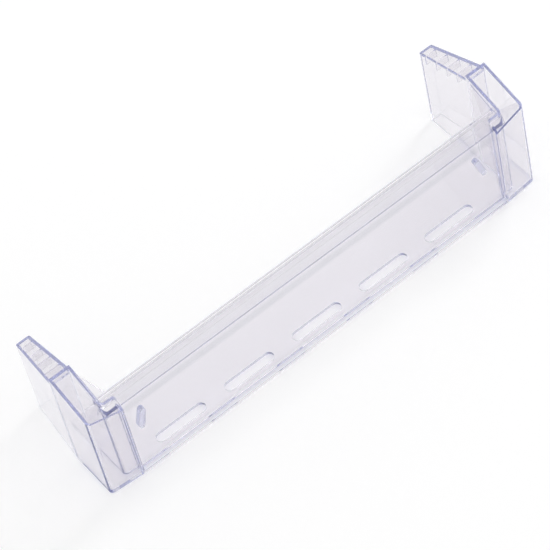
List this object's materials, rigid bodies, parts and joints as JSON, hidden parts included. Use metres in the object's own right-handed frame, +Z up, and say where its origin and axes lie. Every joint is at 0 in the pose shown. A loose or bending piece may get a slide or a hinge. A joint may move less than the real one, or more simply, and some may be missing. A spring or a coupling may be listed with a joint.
{
  "type": "fridge door shelf",
  "caption": "Clear plastic fridge door shelf: slotted floor, front panel, stepped end blocks with open pockets, and arms that reach back to the door.",
  "frame": {"origin": "middle of the footprint, on the surface that the shelf stands on", "axes": "+X along the shelf to the right as seen from its front, +Y from the front panel back to the fridge door, +Z up"},
  "size_m": [0.44, 0.1126, 0.111],
  "materials": {
    "clear_plastic": "clear, faintly lilac-grey, polished"
  },
  "bodies": {
    "root": {"door_shelf": "clear_plastic"}
  },
  "joints": []
}
